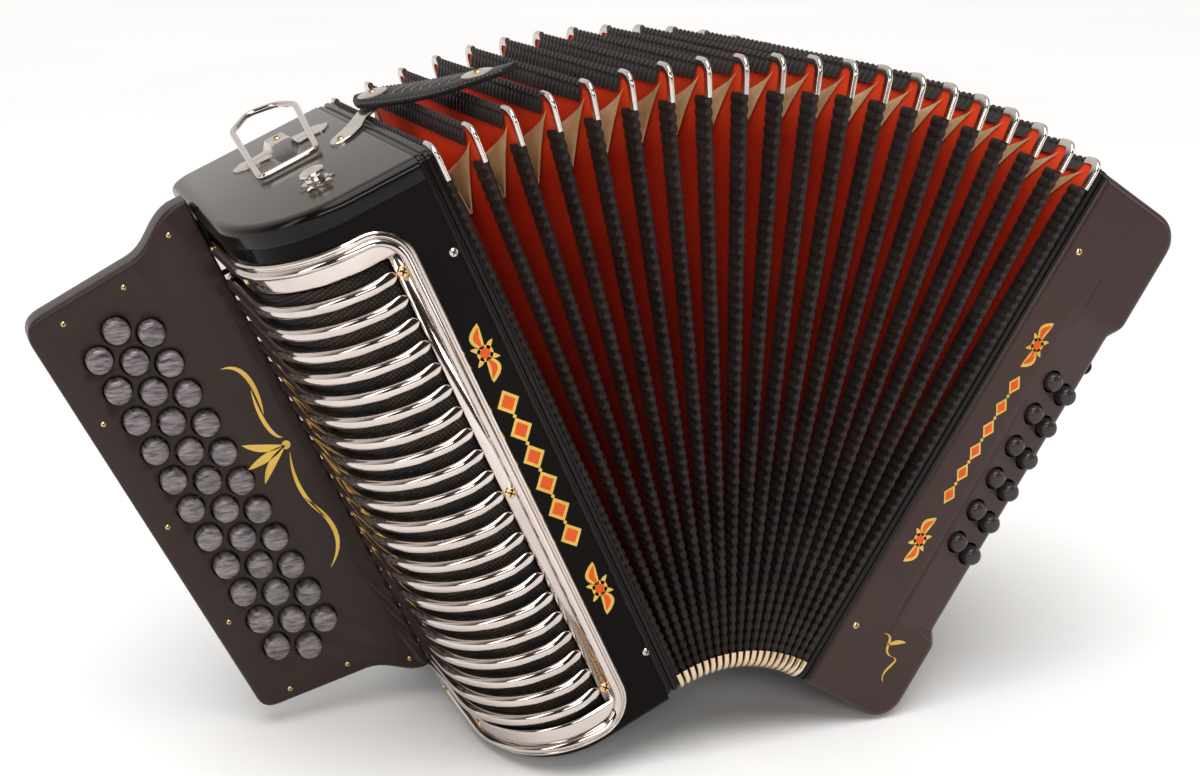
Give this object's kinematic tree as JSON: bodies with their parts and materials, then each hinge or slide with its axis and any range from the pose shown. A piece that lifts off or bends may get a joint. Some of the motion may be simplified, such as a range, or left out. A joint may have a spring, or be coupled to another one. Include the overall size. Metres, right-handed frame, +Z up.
{
  "type": "diatonic button accordion",
  "caption": "Hand-held free-reed instrument: treble case with louvred grille and button fingerboard, fanned pleated bellows, slim bass case with buttons.",
  "frame": {"origin": "centre of the bounding box on the standing plane, z = 0", "axes": "+X from the treble end to the bass end, +Y from the front to the back, +Z up"},
  "size_m": [0.5666, 0.1782, 0.3464],
  "materials": {
    "black_lacquer": "high-gloss black lacquer",
    "satin_brown": "satin brown-black lacquer",
    "chrome": "polished chrome",
    "pearl": "grey pearl",
    "dark_button": "dark grey gloss",
    "bellows": "red-orange bellows card and cloth with black ribbed tape",
    "leather": "black stitched leather",
    "reed_wood": "bare beech"
  },
  "bodies": {
    "treble": {"treble_case": "black_lacquer", "treble_grille": "chrome", "treble_fingerboard": "satin_brown", "treble_reed_block": "reed_wood", "ring_saddle": "chrome"},
    "bellows_a": {"bellows_section_1": "bellows"},
    "bellows_b": {"bellows_section_2": "bellows"},
    "bass": {"bass_case": "satin_brown", "bass_reed_block": "reed_wood", "hand_strap": "leather", "bellows_section_3": "bellows"},
    "bellows_strap": {"bellows_strap": "leather"},
    "strap_ring": {"strap_ring": "chrome"},
    "air_button": {"air_button": "chrome"},
    "treble_button_outer_1": {"treble_button_outer_1": "pearl"},
    "treble_button_outer_2": {"treble_button_outer_2": "pearl"},
    "treble_button_outer_3": {"treble_button_outer_3": "pearl"},
    "treble_button_outer_4": {"treble_button_outer_4": "pearl"},
    "treble_button_outer_5": {"treble_button_outer_5": "pearl"},
    "treble_button_outer_6": {"treble_button_outer_6": "pearl"},
    "treble_button_outer_7": {"treble_button_outer_7": "pearl"},
    "treble_button_outer_8": {"treble_button_outer_8": "pearl"},
    "treble_button_outer_9": {"treble_button_outer_9": "pearl"},
    "treble_button_outer_10": {"treble_button_outer_10": "pearl"},
    "treble_button_outer_11": {"treble_button_outer_11": "pearl"},
    "treble_button_middle_1": {"treble_button_middle_1": "pearl"},
    "treble_button_middle_2": {"treble_button_middle_2": "pearl"},
    "treble_button_middle_3": {"treble_button_middle_3": "pearl"},
    "treble_button_middle_4": {"treble_button_middle_4": "pearl"},
    "treble_button_middle_5": {"treble_button_middle_5": "pearl"},
    "treble_button_middle_6": {"treble_button_middle_6": "pearl"},
    "treble_button_middle_7": {"treble_button_middle_7": "pearl"},
    "treble_button_middle_8": {"treble_button_middle_8": "pearl"},
    "treble_button_middle_9": {"treble_button_middle_9": "pearl"},
    "treble_button_middle_10": {"treble_button_middle_10": "pearl"},
    "treble_button_middle_11": {"treble_button_middle_11": "pearl"},
    "treble_button_middle_12": {"treble_button_middle_12": "pearl"},
    "treble_button_inner_1": {"treble_button_inner_1": "pearl"},
    "treble_button_inner_2": {"treble_button_inner_2": "pearl"},
    "treble_button_inner_3": {"treble_button_inner_3": "pearl"},
    "treble_button_inner_4": {"treble_button_inner_4": "pearl"},
    "treble_button_inner_5": {"treble_button_inner_5": "pearl"},
    "treble_button_inner_6": {"treble_button_inner_6": "pearl"},
    "treble_button_inner_7": {"treble_button_inner_7": "pearl"},
    "treble_button_inner_8": {"treble_button_inner_8": "pearl"},
    "treble_button_inner_9": {"treble_button_inner_9": "pearl"},
    "treble_button_inner_10": {"treble_button_inner_10": "pearl"},
    "treble_button_inner_11": {"treble_button_inner_11": "pearl"},
    "bass_button_inner_1": {"bass_button_inner_1": "dark_button"},
    "bass_button_inner_2": {"bass_button_inner_2": "dark_button"},
    "bass_button_inner_3": {"bass_button_inner_3": "dark_button"},
    "bass_button_inner_4": {"bass_button_inner_4": "dark_button"},
    "bass_button_inner_5": {"bass_button_inner_5": "dark_button"},
    "bass_button_inner_6": {"bass_button_inner_6": "dark_button"},
    "bass_button_outer_1": {"bass_button_outer_1": "dark_button"},
    "bass_button_outer_2": {"bass_button_outer_2": "dark_button"},
    "bass_button_outer_3": {"bass_button_outer_3": "dark_button"},
    "bass_button_outer_4": {"bass_button_outer_4": "dark_button"},
    "bass_button_outer_5": {"bass_button_outer_5": "dark_button"},
    "bass_button_outer_6": {"bass_button_outer_6": "dark_button"}
  },
  "joints": [
    {"name": "fan_1", "type": "hinge", "parent": "treble", "child": "bellows_a", "pos_m": [0.01192, 0.00119, 0.04445], "axis": [0, 1, 0], "range_deg": [-18, 3], "deforming": ["bellows_section_1"]},
    {"name": "fan_2", "type": "hinge", "parent": "bellows_a", "child": "bellows_b", "pos_m": [0.03439, 0.00119, 0.04652], "axis": [0, 1, 0], "range_deg": [-21, 3.5], "deforming": ["bellows_section_2"]},
    {"name": "fan_3", "type": "hinge", "parent": "bellows_b", "child": "bass", "pos_m": [0.05622, 0.00119, 0.04076], "axis": [0, 1, 0], "range_deg": [-18, 3], "deforming": ["bellows_section_3"]},
    {"name": "bellows_strap_swing", "type": "hinge", "parent": "treble", "child": "bellows_strap", "pos_m": [-0.11333, 0.02519, 0.32272], "axis": [-0.4032, 0, 0.9151], "range_deg": [-20, 62]},
    {"name": "strap_ring_slide", "type": "slide", "parent": "treble", "child": "strap_ring", "axis": [0, 1, 0], "range_m": [-0.004, 0.03]},
    {"name": "air_button_press", "type": "slide", "parent": "bass", "child": "air_button", "axis": [-0.8356, 0, 0.5493], "range_m": [0, 0.004], "stiffness_N_per_m": 400, "springref_m": -0.002},
    {"name": "treble_button_outer_1_press", "type": "slide", "parent": "treble", "child": "treble_button_outer_1", "axis": [0, 1, 0], "range_m": [0, 0.004], "stiffness_N_per_m": 250, "springref_m": -0.002},
    {"name": "treble_button_outer_2_press", "type": "slide", "parent": "treble", "child": "treble_button_outer_2", "axis": [0, 1, 0], "range_m": [0, 0.004], "stiffness_N_per_m": 250, "springref_m": -0.002},
    {"name": "treble_button_outer_3_press", "type": "slide", "parent": "treble", "child": "treble_button_outer_3", "axis": [0, 1, 0], "range_m": [0, 0.004], "stiffness_N_per_m": 250, "springref_m": -0.002},
    {"name": "treble_button_outer_4_press", "type": "slide", "parent": "treble", "child": "treble_button_outer_4", "axis": [0, 1, 0], "range_m": [0, 0.004], "stiffness_N_per_m": 250, "springref_m": -0.002},
    {"name": "treble_button_outer_5_press", "type": "slide", "parent": "treble", "child": "treble_button_outer_5", "axis": [0, 1, 0], "range_m": [0, 0.004], "stiffness_N_per_m": 250, "springref_m": -0.002},
    {"name": "treble_button_outer_6_press", "type": "slide", "parent": "treble", "child": "treble_button_outer_6", "axis": [0, 1, 0], "range_m": [0, 0.004], "stiffness_N_per_m": 250, "springref_m": -0.002},
    {"name": "treble_button_outer_7_press", "type": "slide", "parent": "treble", "child": "treble_button_outer_7", "axis": [0, 1, 0], "range_m": [0, 0.004], "stiffness_N_per_m": 250, "springref_m": -0.002},
    {"name": "treble_button_outer_8_press", "type": "slide", "parent": "treble", "child": "treble_button_outer_8", "axis": [0, 1, 0], "range_m": [0, 0.004], "stiffness_N_per_m": 250, "springref_m": -0.002},
    {"name": "treble_button_outer_9_press", "type": "slide", "parent": "treble", "child": "treble_button_outer_9", "axis": [0, 1, 0], "range_m": [0, 0.004], "stiffness_N_per_m": 250, "springref_m": -0.002},
    {"name": "treble_button_outer_10_press", "type": "slide", "parent": "treble", "child": "treble_button_outer_10", "axis": [0, 1, 0], "range_m": [0, 0.004], "stiffness_N_per_m": 250, "springref_m": -0.002},
    {"name": "treble_button_outer_11_press", "type": "slide", "parent": "treble", "child": "treble_button_outer_11", "axis": [0, 1, 0], "range_m": [0, 0.004], "stiffness_N_per_m": 250, "springref_m": -0.002},
    {"name": "treble_button_middle_1_press", "type": "slide", "parent": "treble", "child": "treble_button_middle_1", "axis": [0, 1, 0], "range_m": [0, 0.004], "stiffness_N_per_m": 250, "springref_m": -0.002},
    {"name": "treble_button_middle_2_press", "type": "slide", "parent": "treble", "child": "treble_button_middle_2", "axis": [0, 1, 0], "range_m": [0, 0.004], "stiffness_N_per_m": 250, "springref_m": -0.002},
    {"name": "treble_button_middle_3_press", "type": "slide", "parent": "treble", "child": "treble_button_middle_3", "axis": [0, 1, 0], "range_m": [0, 0.004], "stiffness_N_per_m": 250, "springref_m": -0.002},
    {"name": "treble_button_middle_4_press", "type": "slide", "parent": "treble", "child": "treble_button_middle_4", "axis": [0, 1, 0], "range_m": [0, 0.004], "stiffness_N_per_m": 250, "springref_m": -0.002},
    {"name": "treble_button_middle_5_press", "type": "slide", "parent": "treble", "child": "treble_button_middle_5", "axis": [0, 1, 0], "range_m": [0, 0.004], "stiffness_N_per_m": 250, "springref_m": -0.002},
    {"name": "treble_button_middle_6_press", "type": "slide", "parent": "treble", "child": "treble_button_middle_6", "axis": [0, 1, 0], "range_m": [0, 0.004], "stiffness_N_per_m": 250, "springref_m": -0.002},
    {"name": "treble_button_middle_7_press", "type": "slide", "parent": "treble", "child": "treble_button_middle_7", "axis": [0, 1, 0], "range_m": [0, 0.004], "stiffness_N_per_m": 250, "springref_m": -0.002},
    {"name": "treble_button_middle_8_press", "type": "slide", "parent": "treble", "child": "treble_button_middle_8", "axis": [0, 1, 0], "range_m": [0, 0.004], "stiffness_N_per_m": 250, "springref_m": -0.002},
    {"name": "treble_button_middle_9_press", "type": "slide", "parent": "treble", "child": "treble_button_middle_9", "axis": [0, 1, 0], "range_m": [0, 0.004], "stiffness_N_per_m": 250, "springref_m": -0.002},
    {"name": "treble_button_middle_10_press", "type": "slide", "parent": "treble", "child": "treble_button_middle_10", "axis": [0, 1, 0], "range_m": [0, 0.004], "stiffness_N_per_m": 250, "springref_m": -0.002},
    {"name": "treble_button_middle_11_press", "type": "slide", "parent": "treble", "child": "treble_button_middle_11", "axis": [0, 1, 0], "range_m": [0, 0.004], "stiffness_N_per_m": 250, "springref_m": -0.002},
    {"name": "treble_button_middle_12_press", "type": "slide", "parent": "treble", "child": "treble_button_middle_12", "axis": [0, 1, 0], "range_m": [0, 0.004], "stiffness_N_per_m": 250, "springref_m": -0.002},
    {"name": "treble_button_inner_1_press", "type": "slide", "parent": "treble", "child": "treble_button_inner_1", "axis": [0, 1, 0], "range_m": [0, 0.004], "stiffness_N_per_m": 250, "springref_m": -0.002},
    {"name": "treble_button_inner_2_press", "type": "slide", "parent": "treble", "child": "treble_button_inner_2", "axis": [0, 1, 0], "range_m": [0, 0.004], "stiffness_N_per_m": 250, "springref_m": -0.002},
    {"name": "treble_button_inner_3_press", "type": "slide", "parent": "treble", "child": "treble_button_inner_3", "axis": [0, 1, 0], "range_m": [0, 0.004], "stiffness_N_per_m": 250, "springref_m": -0.002},
    {"name": "treble_button_inner_4_press", "type": "slide", "parent": "treble", "child": "treble_button_inner_4", "axis": [0, 1, 0], "range_m": [0, 0.004], "stiffness_N_per_m": 250, "springref_m": -0.002},
    {"name": "treble_button_inner_5_press", "type": "slide", "parent": "treble", "child": "treble_button_inner_5", "axis": [0, 1, 0], "range_m": [0, 0.004], "stiffness_N_per_m": 250, "springref_m": -0.002},
    {"name": "treble_button_inner_6_press", "type": "slide", "parent": "treble", "child": "treble_button_inner_6", "axis": [0, 1, 0], "range_m": [0, 0.004], "stiffness_N_per_m": 250, "springref_m": -0.002},
    {"name": "treble_button_inner_7_press", "type": "slide", "parent": "treble", "child": "treble_button_inner_7", "axis": [0, 1, 0], "range_m": [0, 0.004], "stiffness_N_per_m": 250, "springref_m": -0.002},
    {"name": "treble_button_inner_8_press", "type": "slide", "parent": "treble", "child": "treble_button_inner_8", "axis": [0, 1, 0], "range_m": [0, 0.004], "stiffness_N_per_m": 250, "springref_m": -0.002},
    {"name": "treble_button_inner_9_press", "type": "slide", "parent": "treble", "child": "treble_button_inner_9", "axis": [0, 1, 0], "range_m": [0, 0.004], "stiffness_N_per_m": 250, "springref_m": -0.002},
    {"name": "treble_button_inner_10_press", "type": "slide", "parent": "treble", "child": "treble_button_inner_10", "axis": [0, 1, 0], "range_m": [0, 0.004], "stiffness_N_per_m": 250, "springref_m": -0.002},
    {"name": "treble_button_inner_11_press", "type": "slide", "parent": "treble", "child": "treble_button_inner_11", "axis": [0, 1, 0], "range_m": [0, 0.004], "stiffness_N_per_m": 250, "springref_m": -0.002},
    {"name": "bass_button_inner_1_press", "type": "slide", "parent": "bass", "child": "bass_button_inner_1", "axis": [0, 1, 0], "range_m": [0, 0.0035], "stiffness_N_per_m": 250, "springref_m": -0.002},
    {"name": "bass_button_inner_2_press", "type": "slide", "parent": "bass", "child": "bass_button_inner_2", "axis": [0, 1, 0], "range_m": [0, 0.0035], "stiffness_N_per_m": 250, "springref_m": -0.002},
    {"name": "bass_button_inner_3_press", "type": "slide", "parent": "bass", "child": "bass_button_inner_3", "axis": [0, 1, 0], "range_m": [0, 0.0035], "stiffness_N_per_m": 250, "springref_m": -0.002},
    {"name": "bass_button_inner_4_press", "type": "slide", "parent": "bass", "child": "bass_button_inner_4", "axis": [0, 1, 0], "range_m": [0, 0.0035], "stiffness_N_per_m": 250, "springref_m": -0.002},
    {"name": "bass_button_inner_5_press", "type": "slide", "parent": "bass", "child": "bass_button_inner_5", "axis": [0, 1, 0], "range_m": [0, 0.0035], "stiffness_N_per_m": 250, "springref_m": -0.002},
    {"name": "bass_button_inner_6_press", "type": "slide", "parent": "bass", "child": "bass_button_inner_6", "axis": [0, 1, 0], "range_m": [0, 0.0035], "stiffness_N_per_m": 250, "springref_m": -0.002},
    {"name": "bass_button_outer_1_press", "type": "slide", "parent": "bass", "child": "bass_button_outer_1", "axis": [0, 1, 0], "range_m": [0, 0.0035], "stiffness_N_per_m": 250, "springref_m": -0.002},
    {"name": "bass_button_outer_2_press", "type": "slide", "parent": "bass", "child": "bass_button_outer_2", "axis": [0, 1, 0], "range_m": [0, 0.0035], "stiffness_N_per_m": 250, "springref_m": -0.002},
    {"name": "bass_button_outer_3_press", "type": "slide", "parent": "bass", "child": "bass_button_outer_3", "axis": [0, 1, 0], "range_m": [0, 0.0035], "stiffness_N_per_m": 250, "springref_m": -0.002},
    {"name": "bass_button_outer_4_press", "type": "slide", "parent": "bass", "child": "bass_button_outer_4", "axis": [0, 1, 0], "range_m": [0, 0.0035], "stiffness_N_per_m": 250, "springref_m": -0.002},
    {"name": "bass_button_outer_5_press", "type": "slide", "parent": "bass", "child": "bass_button_outer_5", "axis": [0, 1, 0], "range_m": [0, 0.0035], "stiffness_N_per_m": 250, "springref_m": -0.002},
    {"name": "bass_button_outer_6_press", "type": "slide", "parent": "bass", "child": "bass_button_outer_6", "axis": [0, 1, 0], "range_m": [0, 0.0035], "stiffness_N_per_m": 250, "springref_m": -0.002}
  ],
  "couplings": [
    {"joint": "fan_2", "follows": "fan_1", "ratio": 1.1667},
    {"joint": "fan_3", "follows": "fan_1", "ratio": 1}
  ]
}
